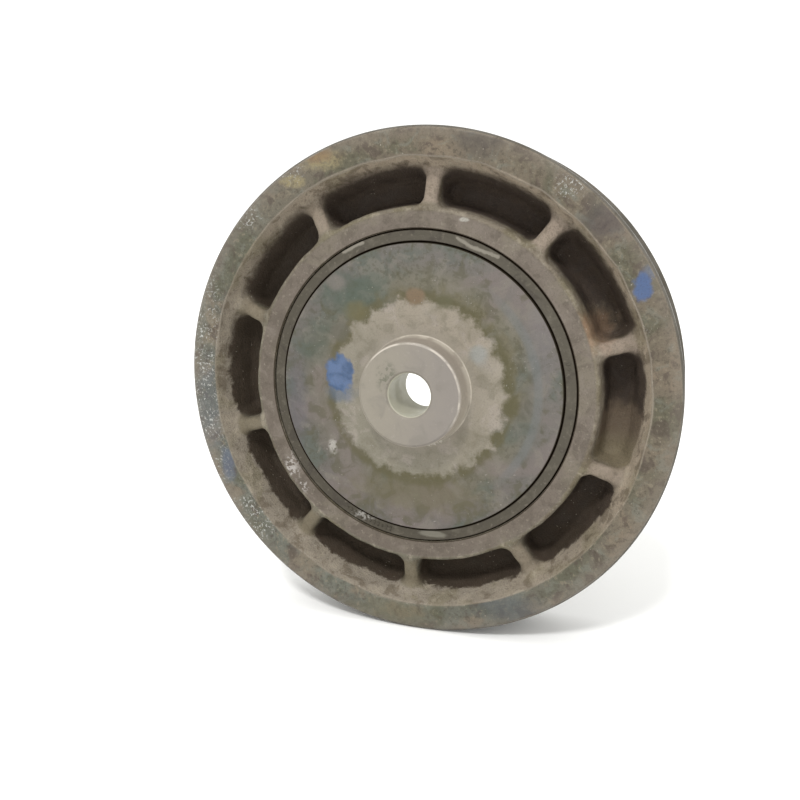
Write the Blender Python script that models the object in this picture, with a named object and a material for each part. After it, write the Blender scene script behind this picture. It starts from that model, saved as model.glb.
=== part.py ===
"""Crankshaft belt pulley with a rubber torsional damper, in three solids.

The hub clamps to the nose of a crankshaft, a ring of rubber is bonded round it, and a cast
ring with a ribbed rear face and a multi-groove belt track is bonded round the rubber.
Sizes are in millimetres. The axis is Y. Depths run forward, +Y, from the hub's seat face;
the model is then centred on its own bounding box.
"""
import math

import bmesh
import bpy

MM = 0.001
SEGMENTS = 60                  # facets round each turned surface, a multiple of 4

# Hub
BORE_DIAMETER = 14.0           # clearance for the central crank bolt
BORE_CHAMFER = 0.8
SPIGOT_DIAMETER = 35.6         # raised boss that centres the hub, at its root
SPIGOT_TIP_DIAMETER = 33.8
SPIGOT_HEIGHT = 9.0
HUB_DIAMETER = 94.4            # outside of the hub, where the rubber is bonded
HUB_WEB = 10.0                 # seat face to the bolt's seat
HUB_LENGTH = 19.5              # seat face to the front edge of the skirt
SKIRT_THICKNESS = 7.5
BOLT_SEAT_DIAMETER = 42.0      # machined land under the bolt's flange
BOLT_SEAT_HEIGHT = 1.2
EDGE_CHAMFER = 0.6

# Rubber
RUBBER_THICKNESS = 4.3         # radial distance from hub to cast ring
BOND_GAP = 0.3                 # clearance left between neighbouring solids
RUBBER_RECESS = 0.5            # how far the rubber's ends sit below the metal
RUBBER_LENGTH = 18.0

# Cast ring, rear side
RING_FACE_DEPTH = 0.3          # rear face of the inner ring below the hub's seat face
RING_WALL = 6.6                # radial thickness of the inner ring at its rear face
RING_LENGTH = 21.0
OUTER_DIAMETER = 165.0
FLANGE_FACE_DEPTH = -1.5       # rear flange stands this far behind the seat face
FLANGE_WIDTH = 9.0             # flat width of the rear flange, lip to outer edge
FLANGE_CHAMFER = 1.2
RIB_COUNT = 10
RIB_PHASE = 87.0               # degrees from +X towards +Z, to the first rib's middle
RIB_WIDTH = 3.8                # across the top of a rib
RIB_DRAFT = 7.0                # degrees on each side of a rib
RIB_DROP = 5.0                 # how far a rib falls from the inner ring to the rim
POCKET_DEPTH = 14.5            # floor of a pocket below the seat face
POCKET_CORNER = 3.0
RING_DRAFT = 6.0               # degrees on the inner ring's outer wall
RIM_SLOPE = 24.0               # degrees on the rim's inner wall, behind the lip

# Cast ring, front side and belt track
RIM_FRONT_DEPTH = 27.0         # front edge of the rim
WEB_THICKNESS = 4.5            # under the pockets
RIM_WALL = 4.6                 # under the belt grooves, at the front
GROOVE_COUNT = 6
GROOVE_PITCH = 3.56
GROOVE_DEPTH = 2.7
TRACK_STEP = 2.2               # tips between the grooves, below the rear flange's edge
REAR_FLANGE_THICKNESS = 4.0
FRONT_FLANGE_STEP = 0.7        # front flange's edge, below the rear flange's
FRONT_FLANGE_THICKNESS = 2.6

# Worked out from the above
HUB_RADIUS = HUB_DIAMETER / 2
RING_INNER_RADIUS = HUB_RADIUS + RUBBER_THICKNESS
RING_OUTER_RADIUS = RING_INNER_RADIUS + RING_WALL
OUTER_RADIUS = OUTER_DIAMETER / 2
LIP_RADIUS = OUTER_RADIUS - FLANGE_WIDTH
TRACK_RADIUS = OUTER_RADIUS - TRACK_STEP
FRONT_FLANGE_RADIUS = OUTER_RADIUS - FRONT_FLANGE_STEP
CENTRE_DEPTH = (RIM_FRONT_DEPTH - SPIGOT_HEIGHT) / 2


def clear_scene():
    for item in list(bpy.data.objects):
        bpy.data.objects.remove(item, do_unlink=True)


def make_material(name, colour, roughness, metallic):
    material = bpy.data.materials.new(name)
    material.use_nodes = True
    shader = material.node_tree.nodes["Principled BSDF"]
    shader.inputs["Base Color"].default_value = (*colour, 1.0)
    shader.inputs["Roughness"].default_value = roughness
    shader.inputs["Metallic"].default_value = metallic
    return material


def round_corners(corners, steps=3):
    """Turn (radius, depth, fillet) corners into outline points, each fillet an arc."""
    outline = []
    count = len(corners)
    for index, (x, y, fillet) in enumerate(corners):
        if fillet <= 0:
            outline.append((x, y))
            continue
        before = corners[index - 1]
        after = corners[(index + 1) % count]
        to_before = (before[0] - x, before[1] - y)
        to_after = (after[0] - x, after[1] - y)
        length_before = math.hypot(*to_before)
        length_after = math.hypot(*to_after)
        unit_before = (to_before[0] / length_before, to_before[1] / length_before)
        unit_after = (to_after[0] / length_after, to_after[1] / length_after)
        cosine = unit_before[0] * unit_after[0] + unit_before[1] * unit_after[1]
        half = math.acos(max(-1.0, min(1.0, cosine))) / 2
        reach = min(fillet / math.tan(half), 0.45 * length_before, 0.45 * length_after)
        fillet = reach * math.tan(half)
        middle = (unit_before[0] + unit_after[0], unit_before[1] + unit_after[1])
        scale = fillet / math.sin(half) / math.hypot(*middle)
        centre = (x + middle[0] * scale, y + middle[1] * scale)
        first = (x + unit_before[0] * reach, y + unit_before[1] * reach)
        last = (x + unit_after[0] * reach, y + unit_after[1] * reach)
        start = math.atan2(first[1] - centre[1], first[0] - centre[0])
        sweep = math.atan2(last[1] - centre[1], last[0] - centre[0]) - start
        sweep = (sweep + math.pi) % (2 * math.pi) - math.pi
        for step in range(steps + 1):
            angle = start + sweep * step / steps
            outline.append((centre[0] + fillet * math.cos(angle),
                            centre[1] + fillet * math.sin(angle)))
    return outline


def place(radius, depth):
    """A point of an outline, in metres, in the plane that holds the axis and +X."""
    return (radius * MM, (depth - CENTRE_DEPTH) * MM, 0.0)


def finish_object(name, mesh_builder, material):
    bmesh.ops.recalc_face_normals(mesh_builder, faces=mesh_builder.faces)
    mesh = bpy.data.meshes.new(name)
    mesh_builder.to_mesh(mesh)
    mesh_builder.free()
    solid = bpy.data.objects.new(name, mesh)
    bpy.context.scene.collection.objects.link(solid)
    solid.data.materials.append(material)
    return solid


def shade(solid, angle=35.0):
    solid.data.shade_smooth()
    solid.data.set_sharp_from_angle(angle=math.radians(angle))


def turn(name, outline, material):
    """A closed outline turned once round the Y axis."""
    builder = bmesh.new()
    points = [builder.verts.new(place(radius, depth)) for radius, depth in outline]
    edges = [builder.edges.new((points[i - 1], points[i])) for i in range(len(points))]
    bmesh.ops.spin(builder, geom=points + edges, axis=(0, 1, 0), cent=(0, 0, 0),
                   angle=2 * math.pi, steps=SEGMENTS, use_merge=True)
    return finish_object(name, builder, material)


def make_hub(material):
    bore = BORE_DIAMETER / 2
    seat = BOLT_SEAT_DIAMETER / 2
    web_front = HUB_WEB - BOLT_SEAT_HEIGHT
    skirt_inside = HUB_RADIUS - SKIRT_THICKNESS
    corners = [
        (bore, -SPIGOT_HEIGHT + BORE_CHAMFER, 0),
        (bore + BORE_CHAMFER, -SPIGOT_HEIGHT, 0),
        (SPIGOT_TIP_DIAMETER / 2, -SPIGOT_HEIGHT, 1.2),
        (SPIGOT_DIAMETER / 2, 0, 0.8),
        (HUB_RADIUS - EDGE_CHAMFER, 0, 0),
        (HUB_RADIUS, EDGE_CHAMFER, 0),
        (HUB_RADIUS, HUB_LENGTH - EDGE_CHAMFER, 0),
        (HUB_RADIUS - EDGE_CHAMFER, HUB_LENGTH, 0),
        (skirt_inside, HUB_LENGTH, 1.0),
        (skirt_inside - 1.5, web_front, 3.0),
        (seat + BOLT_SEAT_HEIGHT, web_front, 1.0),
        (seat, HUB_WEB, 0),
        (bore + BORE_CHAMFER, HUB_WEB, 0),
        (bore, HUB_WEB - BORE_CHAMFER, 0),
    ]
    hub = turn("hub", round_corners(corners), material)
    shade(hub)
    return hub


def make_rubber(material):
    inside = HUB_RADIUS + BOND_GAP
    outside = RING_INNER_RADIUS - BOND_GAP
    middle = (inside + outside) / 2
    rear = RUBBER_RECESS
    front = RUBBER_RECESS + RUBBER_LENGTH
    dish = 0.35
    corners = [
        (inside, rear, 0.5),
        (middle, rear + dish, 0),
        (outside, rear, 0.5),
        (outside, front, 0.5),
        (middle, front - dish, 0),
        (inside, front, 0.5),
    ]
    rubber = turn("damper_rubber", round_corners(corners), material)
    shade(rubber)
    return rubber


def rim_inner_radius(depth):
    """Inside of the rim behind the lip, narrowing with depth."""
    return LIP_RADIUS - (depth - FLANGE_FACE_DEPTH) * math.tan(math.radians(RIM_SLOPE))


def ring_wall_radius(depth):
    """Outside of the inner ring, widening with depth."""
    return RING_OUTER_RADIUS + (depth - RING_FACE_DEPTH) * math.tan(math.radians(RING_DRAFT))


def belt_track():
    """Grooves of the belt track, from the rear flange to the front one."""
    tip = TRACK_RADIUS
    root = tip - GROOVE_DEPTH
    rear = FLANGE_FACE_DEPTH + REAR_FLANGE_THICKNESS
    width = RIM_FRONT_DEPTH - FRONT_FLANGE_THICKNESS - rear
    start = rear + (width - GROOVE_COUNT * GROOVE_PITCH) / 2
    points = [(OUTER_RADIUS, rear - 0.6), (tip, rear + 0.4)]
    for groove in range(GROOVE_COUNT):
        middle = start + (groove + 0.5) * GROOVE_PITCH
        points.append((tip, middle - 1.45))
        points.append((root, middle - 0.3))
        points.append((root, middle + 0.3))
        points.append((tip, middle + 1.45))
    points.append((tip, rear + width - 0.4))
    points.append((FRONT_FLANGE_RADIUS, rear + width + 0.6))
    return points


def ring_outline():
    web_front = POCKET_DEPTH + WEB_THICKNESS
    rib_end = RING_FACE_DEPTH + RIB_DROP
    front_radius = FRONT_FLANGE_RADIUS
    rim_inside = TRACK_RADIUS - GROOVE_DEPTH - RIM_WALL
    inner = [
        (RING_INNER_RADIUS + EDGE_CHAMFER, RING_FACE_DEPTH, 0),
        (ring_wall_radius(RING_FACE_DEPTH), RING_FACE_DEPTH, 0.8),
        (rim_inner_radius(rib_end), rib_end, 1.6),
        (LIP_RADIUS, FLANGE_FACE_DEPTH, 0.4),
        (OUTER_RADIUS - FLANGE_CHAMFER, FLANGE_FACE_DEPTH, 0),
        (OUTER_RADIUS, FLANGE_FACE_DEPTH + FLANGE_CHAMFER, 0),
    ]
    outer = [
        (front_radius, RIM_FRONT_DEPTH - 0.8, 0),
        (front_radius - 0.8, RIM_FRONT_DEPTH, 0),
        (rim_inside + 1.0, RIM_FRONT_DEPTH, 0.8),
        (rim_inside, web_front, 3.0),
        (RING_OUTER_RADIUS + 1.0, web_front, 2.0),
        (RING_OUTER_RADIUS, RING_LENGTH, 0.8),
        (RING_INNER_RADIUS + EDGE_CHAMFER, RING_LENGTH, 0),
        (RING_INNER_RADIUS, RING_LENGTH - EDGE_CHAMFER, 0),
        (RING_INNER_RADIUS, RING_FACE_DEPTH + EDGE_CHAMFER, 0),
    ]
    track = [(radius, depth, 0) for radius, depth in belt_track()]
    return round_corners(inner + track + outer)


def pocket_section(depth, shrink):
    """Rounded outline of one pocket at a depth, as (radius, angle from its middle) pairs."""
    inner = ring_wall_radius(depth) + shrink
    outer = rim_inner_radius(depth) - shrink
    spread = math.tan(math.radians(RIB_DRAFT)) * (depth - RING_FACE_DEPTH)
    half_rib = RIB_WIDTH / 2 + max(spread, -RIB_WIDTH / 4) + shrink
    corner = min(POCKET_CORNER, 0.45 * (outer - inner))
    middle = (inner + outer) / 2
    half_height = (outer - inner) / 2
    half_width = middle * math.pi / RIB_COUNT - half_rib
    section = []
    for sign_across, sign_out, start in ((1, 1, 0), (-1, 1, 90), (-1, -1, 180), (1, -1, 270)):
        for step in range(4):
            angle = math.radians(start + 30 * step)
            out = sign_out * (half_height - corner) + corner * math.sin(angle)
            across = sign_across * (half_width - corner) + corner * math.cos(angle)
            section.append((middle + out, across / half_width, half_rib))
        if sign_across * sign_out > 0:
            for step in range(1, 8):
                share = 1 - step / 4
                across = sign_across * share * (half_width - corner)
                section.append((middle + sign_out * half_height, across / half_width, half_rib))
    return [(radius, share * (math.pi / RIB_COUNT - math.asin(rib / radius)))
            for radius, share, rib in section]


def make_pocket_cutters():
    """One tapered block for each pocket, with a rounded floor."""
    floor_fillet = 2.0
    levels = [(RING_FACE_DEPTH - 3.0, 0.0), (POCKET_DEPTH - floor_fillet, 0.0),
              (POCKET_DEPTH - 0.3 * floor_fillet, 0.3 * floor_fillet),
              (POCKET_DEPTH, floor_fillet)]
    builder = bmesh.new()
    for pocket in range(RIB_COUNT):
        middle = math.radians(RIB_PHASE + (pocket + 0.5) * 360.0 / RIB_COUNT)
        loops = []
        for depth, shrink in levels:
            loop = []
            for radius, angle in pocket_section(depth, shrink):
                x, y, _ = place(radius, depth)
                turn_angle = middle + angle
                loop.append(builder.verts.new((x * math.cos(turn_angle), y,
                                               x * math.sin(turn_angle))))
            loops.append(loop)
        for lower, upper in zip(loops, loops[1:]):
            for i in range(len(lower)):
                builder.faces.new((lower[i - 1], lower[i], upper[i], upper[i - 1]))
        builder.faces.new(loops[0])
        builder.faces.new(list(reversed(loops[-1])))
    cutters = finish_object("pocket_cutters", builder, bpy.data.materials["cast_iron"])
    cutters.hide_render = True
    cutters.display_type = "WIRE"
    return cutters


def make_ring(material):
    ring = turn("pulley_ring", ring_outline(), material)
    cut = ring.modifiers.new("pockets", "BOOLEAN")
    cut.operation = "DIFFERENCE"
    cut.solver = "EXACT"
    cut.object = make_pocket_cutters()
    shade(ring)
    return ring


def main():
    clear_scene()
    steel = make_material("machined_iron", (0.20, 0.19, 0.16), 0.45, 0.7)
    rubber = make_material("damper_rubber", (0.09, 0.08, 0.085), 0.75, 0.0)
    cast_iron = make_material("cast_iron", (0.17, 0.155, 0.13), 0.6, 0.5)
    make_hub(steel)
    make_rubber(rubber)
    make_ring(cast_iron)


main()
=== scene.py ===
import math

import bmesh
import bpy
from mathutils import Matrix, Vector, noise


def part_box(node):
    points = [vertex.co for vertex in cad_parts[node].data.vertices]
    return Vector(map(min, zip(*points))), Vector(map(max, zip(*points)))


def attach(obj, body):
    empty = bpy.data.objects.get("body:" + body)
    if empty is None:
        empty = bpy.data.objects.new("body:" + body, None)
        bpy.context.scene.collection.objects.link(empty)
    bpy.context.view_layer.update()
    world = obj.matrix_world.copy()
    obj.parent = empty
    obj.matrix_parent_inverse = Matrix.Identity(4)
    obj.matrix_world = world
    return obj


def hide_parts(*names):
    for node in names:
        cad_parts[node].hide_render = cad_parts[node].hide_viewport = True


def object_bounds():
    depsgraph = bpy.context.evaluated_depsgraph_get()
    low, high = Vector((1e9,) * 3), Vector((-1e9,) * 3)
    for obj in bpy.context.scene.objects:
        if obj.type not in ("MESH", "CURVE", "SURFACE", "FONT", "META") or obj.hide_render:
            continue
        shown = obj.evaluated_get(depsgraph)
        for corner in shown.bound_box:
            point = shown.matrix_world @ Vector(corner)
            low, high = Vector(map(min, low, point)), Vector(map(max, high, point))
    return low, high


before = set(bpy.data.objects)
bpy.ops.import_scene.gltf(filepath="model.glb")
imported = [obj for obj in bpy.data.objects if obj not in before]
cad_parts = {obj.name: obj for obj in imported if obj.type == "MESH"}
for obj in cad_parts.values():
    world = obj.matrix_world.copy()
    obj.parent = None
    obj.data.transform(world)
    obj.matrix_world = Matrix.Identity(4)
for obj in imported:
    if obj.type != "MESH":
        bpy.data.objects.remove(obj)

cad_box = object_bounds()

# HUB. The iron disc that clamps on the crankshaft's nose: turned all over, with a spigot at
# the back, a clear bore, a bolt seat at the front and a skirt that the rubber is bonded to.
# Its seat face keeps the pale print of the timing sprocket, oil stains and a dab of paint.
MM = 0.001
SPIGOT_HEIGHT = 9.0
SEAT_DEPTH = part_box("hub")[0].y / MM + SPIGOT_HEIGHT
HUB_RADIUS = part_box("hub")[1].x / MM
HUB_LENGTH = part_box("hub")[1].y / MM - SEAT_DEPTH
TENTH_STEPS = 36
RIB_PHASE = 87.0


def rounded(corners, steps=5):
    """Outline points from (radius, depth, fillet) corners, each fillet turned into an arc."""
    outline = []
    for index, (radius, depth, fillet) in enumerate(corners):
        if not fillet:
            outline.append((radius, depth))
            continue
        corner = Vector((radius, depth))
        before = Vector(corners[index - 1][:2]) - corner
        after = Vector(corners[(index + 1) % len(corners)][:2]) - corner
        half = before.angle(after) / 2
        reach = min(fillet / math.tan(half), 0.48 * before.length, 0.48 * after.length)
        middle = (before.normalized() + after.normalized()).normalized()
        centre = corner + middle * (reach / math.cos(half))
        start = before.normalized() * reach + corner - centre
        sweep = start.angle_signed(after.normalized() * reach + corner - centre)
        for step in range(steps + 1):
            spoke = start.copy()
            spoke.rotate(Matrix.Rotation(-sweep * step / steps, 2))
            outline.append(tuple(centre + spoke))
    return outline


def ten_times(shape):
    """Repeat what is in the bmesh, one tenth of a turn wide, all the way round."""
    bmesh.ops.spin(shape, geom=shape.verts[:] + shape.edges[:] + shape.faces[:],
                   cent=(0, 0, 0), axis=(0, 1, 0), dvec=(0, 0, 0), use_duplicate=True,
                   steps=9, angle=math.tau * 0.9)


def turned(shape, outline, closed=True):
    """Spin an outline of (radius, depth) points a tenth of a turn about the Y axis."""
    across = Vector((math.cos(math.radians(RIB_PHASE)), 0, math.sin(math.radians(RIB_PHASE))))
    points = [shape.verts.new(across * radius * MM + Vector((0, (depth + SEAT_DEPTH) * MM, 0)))
              for radius, depth in outline]
    first = 0 if closed else 1
    edges = [shape.edges.new((points[i - 1], points[i])) for i in range(first, len(points))]
    bmesh.ops.spin(shape, geom=points + edges, cent=(0, 0, 0), axis=(0, 1, 0), dvec=(0, 0, 0),
                   angle=-math.tau / 10, steps=TENTH_STEPS, use_merge=False, use_duplicate=False)


def piece(name, shape, material, body, stands_for=None):
    """Make an object of a finished bmesh and tie it to its body and CAD node."""
    bmesh.ops.remove_doubles(shape, verts=shape.verts, dist=0.002 * MM)
    bmesh.ops.recalc_face_normals(shape, faces=shape.faces)
    mesh = bpy.data.meshes.new(name)
    shape.to_mesh(mesh)
    shape.free()
    made = bpy.data.objects.new(name, mesh)
    bpy.context.scene.collection.objects.link(made)
    mesh.materials.append(material)
    mesh.shade_smooth()
    mesh.set_sharp_from_angle(angle=math.radians(32))
    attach(made, body)
    if stands_for:
        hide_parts(stands_for)


class Finish:
    """A material under construction: its shader, and patterns in millimetres on the piece."""

    def __init__(self, name):
        self.material = bpy.data.materials.new(name)
        self.material.use_nodes = True
        self.tree = self.material.node_tree
        self.shader = self.tree.nodes["Principled BSDF"]
        place = self.tree.nodes.new("ShaderNodeTexCoord").outputs["Object"]
        self.mm = self.vector("SCALE", place, 1 / MM)
        x, y, z = self.split(self.mm)
        self.x, self.z = x, z
        self.depth = self.math("SUBTRACT", y, SEAT_DEPTH)
        self.radius = self.math("SQRT", self.math("ADD", self.math("MULTIPLY", x, x),
                                                  self.math("MULTIPLY", z, z)))
        self.turn = self.math("DIVIDE", self.math("ARCTAN2", z, x), math.tau)

    def feed(self, socket, value):
        if isinstance(value, bpy.types.NodeSocket):
            self.tree.links.new(value, socket)
        elif isinstance(value, (tuple, list)) and len(value) == 3 and socket.type == "RGBA":
            socket.default_value = (*value, 1.0)
        else:
            socket.default_value = value

    def math(self, operation, *values, clamp=False):
        made = self.tree.nodes.new("ShaderNodeMath")
        made.operation = operation
        made.use_clamp = clamp
        for socket, value in zip(made.inputs, values):
            self.feed(socket, value)
        return made.outputs[0]

    def vector(self, operation, *values):
        made = self.tree.nodes.new("ShaderNodeVectorMath")
        made.operation = operation
        self.feed(made.inputs[0], values[0])
        if operation == "SCALE":
            self.feed(made.inputs["Scale"], values[1])
        else:
            self.feed(made.inputs[1], values[1])
        return made.outputs[0]

    def split(self, vector):
        made = self.tree.nodes.new("ShaderNodeSeparateXYZ")
        self.feed(made.inputs[0], vector)
        return made.outputs

    def noise(self, size, detail=3.0, roughness=0.55, shift=0.0, warp=0.0):
        """Cloudy noise of about the given size in millimetres, from 0 to 1."""
        made = self.tree.nodes.new("ShaderNodeTexNoise")
        self.feed(made.inputs["Vector"], self.vector("ADD", self.mm, (shift, 2.3 * shift, -shift)))
        made.inputs["Scale"].default_value = 1 / size
        made.inputs["Detail"].default_value = detail
        made.inputs["Roughness"].default_value = roughness
        made.inputs["Distortion"].default_value = warp
        return made.outputs[0]

    def step(self, value, low, high, out_low=0.0, out_high=1.0):
        """A smooth ramp of a value from low to high."""
        made = self.tree.nodes.new("ShaderNodeMapRange")
        made.interpolation_type = "SMOOTHSTEP"
        self.feed(made.inputs["Value"], value)
        limits = zip(("From Min", "From Max", "To Min", "To Max"), (low, high, out_low, out_high))
        for socket, limit in limits:
            self.feed(made.inputs[socket], limit)
        return made.outputs[0]

    def mix(self, share, first, second):
        made = self.tree.nodes.new("ShaderNodeMix")
        made.data_type = "RGBA"
        self.feed(made.inputs[0], share)
        self.feed(made.inputs[6], first)
        self.feed(made.inputs[7], second)
        return made.outputs[2]

    def drift(self, low, high, reach=80):
        """A screen colour drifting cloudily from the lower left of the face to the upper right."""
        wander = self.math("MULTIPLY", self.math("SUBTRACT", self.noise(22, shift=9), 0.5), reach)
        place = self.math("ADD", self.math("ADD", self.x, self.z), wander)
        return self.mix(self.step(place, -reach, reach), lit(*low), lit(*high))

    def all_of(self, *shares):
        """Where every one of several patterns is present."""
        share = shares[0]
        for other in shares[1:]:
            share = self.math("MULTIPLY", share, other)
        return share

    def stained(self, colour, *stains):
        """Lay (share, colour) stains over a colour, one after another."""
        for share, stain in stains:
            colour = self.mix(share, colour, stain)
        return colour

    def spot(self, x, z, wide, tall, soft=0.25, ragged=0.35):
        """A patch with ragged edges centred on a point of the face, 1 inside and 0 outside."""
        across = self.math("DIVIDE", self.math("SUBTRACT", self.x, x), wide / 2)
        up = self.math("DIVIDE", self.math("SUBTRACT", self.z, z), tall / 2)
        reach = self.math("SQRT", self.math("ADD", self.math("MULTIPLY", across, across),
                                            self.math("MULTIPLY", up, up)))
        edge = self.math("MULTIPLY", self.math("SUBTRACT", self.noise(3.0, shift=x), 0.5),
                         ragged * 2)
        return self.step(self.math("ADD", reach, edge), 1 + soft, 1 - soft)

    def strokes(self, lines, width):
        """Thin drawn lines, given as ((x, z), (x, z)) ends, broken up like chalk."""
        nearest = 100.0
        for (x0, z0), (x1, z1) in lines:
            run, rise = x1 - x0, z1 - z0
            from_x = self.math("SUBTRACT", self.x, x0)
            from_z = self.math("SUBTRACT", self.z, z0)
            dot = self.math("ADD", self.math("MULTIPLY", from_x, run),
                            self.math("MULTIPLY", from_z, rise))
            along = self.math("DIVIDE", dot, run * run + rise * rise, clamp=True)
            off_x = self.math("SUBTRACT", from_x, self.math("MULTIPLY", along, run))
            off_z = self.math("SUBTRACT", from_z, self.math("MULTIPLY", along, rise))
            away = self.math("SQRT", self.math("ADD", self.math("MULTIPLY", off_x, off_x),
                                               self.math("MULTIPLY", off_z, off_z)))
            nearest = self.math("MINIMUM", away, nearest)
        wide = self.math("MULTIPLY", self.noise(1.6, detail=4, shift=lines[0][0][0]), width * 2)
        return self.step(nearest, wide, self.math("MULTIPLY", wide, 0.3))

    def turning_marks(self):
        """The fine rings that the lathe tool leaves on a turned face."""
        waves_per_mm = 14.0 / math.tau
        return self.math("SINE", self.math("MULTIPLY", self.radius, waves_per_mm * math.tau))

    def bump(self, height, distance, normal=None):
        """Relief of a height pattern; distance in millimetres."""
        made = self.tree.nodes.new("ShaderNodeBump")
        made.inputs["Distance"].default_value = distance * MM
        made.inputs["Strength"].default_value = 1.0
        self.feed(made.inputs["Height"], height)
        if normal:
            self.feed(made.inputs["Normal"], normal)
        return made.outputs[0]

    def done(self, colour, roughness, normal, metallic=0.0, specular=0.3):
        self.feed(self.shader.inputs["Base Color"], colour)
        self.feed(self.shader.inputs["Roughness"], roughness)
        self.feed(self.shader.inputs["Normal"], normal)
        self.shader.inputs["Metallic"].default_value = metallic
        self.feed(self.shader.inputs["Specular IOR Level"], specular)
        return self.material


def lit(red, green, blue):
    """Base colour that comes out as these screen values on a face in the studio's light."""
    light = 1.55
    return tuple(max(((value / 255 + 0.055) / 1.055) ** 2.4 - 0.018, 0.004) / light
                 for value in (red, green, blue))


def hub_outline():
    bore, chamfer = 7.0, 0.8
    web_front, seat_front = 8.8, 10.0
    skirt = HUB_RADIUS - 7.5
    return rounded([
        (bore, -SPIGOT_HEIGHT + chamfer, 0.2), (bore + chamfer, -SPIGOT_HEIGHT, 0.2),
        (16.1, -SPIGOT_HEIGHT, 0.3), (16.95, -SPIGOT_HEIGHT + 0.7, 0.3), (17.8, 0, 0.6),
        (30, 0, 0), (40, 0, 0),
        (HUB_RADIUS - 0.35, 0, 0.1), (HUB_RADIUS, 0.35, 0.1),
        (HUB_RADIUS, HUB_LENGTH - 0.6, 0.12), (HUB_RADIUS - 0.6, HUB_LENGTH, 0.12),
        (skirt, HUB_LENGTH, 0.8), (skirt - 1.5, web_front, 3.0), (22.2, web_front, 0.8),
        (21.0, seat_front, 0.2), (bore + chamfer, seat_front, 0.15),
        (bore, seat_front - chamfer, 0.15)])


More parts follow.
